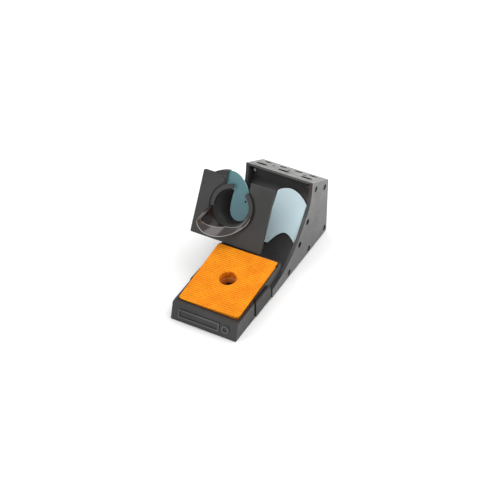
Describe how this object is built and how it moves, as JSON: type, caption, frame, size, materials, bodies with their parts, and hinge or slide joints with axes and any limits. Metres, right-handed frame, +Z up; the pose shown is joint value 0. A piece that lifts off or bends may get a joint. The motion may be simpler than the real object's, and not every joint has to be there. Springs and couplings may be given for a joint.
{
  "type": "soldering iron stand with sponge tray",
  "caption": "Bench rest for a soldering iron: tilting funnel holder on a housing with a curved drip wall and a sloped tip rack, and a slide-out tray with a wiping sponge.",
  "frame": {"origin": "on the bench surface under the centre of the base, on the underside of the anti-slip mat", "axes": "+X to the right seen from the tray end, +Y from the sponge tray to the tip rack, +Z up"},
  "size_m": [0.1075, 0.2, 0.0971],
  "materials": {
    "housing_black": "moulded, fine grain",
    "holder_dark": "moulded, satin",
    "scoop_gloss": "polished",
    "leaf_teal": "blue-green coating, thin bright rim",
    "cover_blue": "pale blue coating, satin",
    "steel": "machined",
    "zinc": "plated",
    "sponge_top": "damp cellulose sponge, ribbed",
    "sponge_base": "cellulose sponge",
    "foot_rubber": "matte",
    "trim": "raised trim"
  },
  "bodies": {
    "base": {"right_side_panel": "housing_black", "left_side_panel": "housing_black", "floor_pan": "housing_black", "rear_wall": "housing_black", "tip_rack": "housing_black", "cross_brace": "housing_black", "curved_wall": "housing_black", "wall_screws": "zinc", "side_clip_left": "housing_black", "side_clip_right": "housing_black", "axle_web": "housing_black", "panel_screws_left": "zinc", "panel_screws_right": "zinc", "ballast_plate": "steel", "ballast_screw_left": "zinc", "ballast_screw_right": "zinc", "anti_slip_mat": "foot_rubber", "foot_front_left": "foot_rubber", "foot_front_right": "foot_rubber", "foot_rear_left": "foot_rubber", "foot_rear_right": "foot_rubber", "axle": "steel", "friction_washer": "steel", "spring_cup": "steel", "clamp_collar": "steel", "tension_spring": "steel", "bearing_washer": "steel", "hub_cover": "cover_blue", "retaining_nut": "steel"},
    "tray": {"sponge_tray": "housing_black", "tray_front_trim": "trim"},
    "sponge": {"sponge_lower": "sponge_base", "sponge_upper": "sponge_top"},
    "holder": {"holder_plate": "holder_dark", "funnel_ring": "holder_dark", "funnel_scoop": "scoop_gloss", "funnel_cone": "holder_dark", "leaf_pivot_pin": "zinc", "guard_hood": "holder_dark", "hood_cheek": "holder_dark", "tilt_lever": "holder_dark"},
    "leaf": {"blue_guard_leaf": "leaf_teal"}
  },
  "joints": [
    {"name": "tray_slide", "type": "slide", "parent": "base", "child": "tray", "axis": [0, -1, 0], "range_m": [0, 0.09]},
    {"name": "sponge_lift", "type": "slide", "parent": "tray", "child": "sponge", "axis": [0, 0, 1], "range_m": [0, 0.007]},
    {"name": "holder_tilt", "type": "hinge", "parent": "base", "child": "holder", "pos_m": [0, 0.06, 0.04], "axis": [1, 0, 0], "range_deg": [-18, 1]},
    {"name": "leaf_swing", "type": "hinge", "parent": "holder", "child": "leaf", "pos_m": [-0.0465, 0.02857, 0.08589], "axis": [0, -0.8829, 0.4695], "range_deg": [0, 45]}
  ]
}
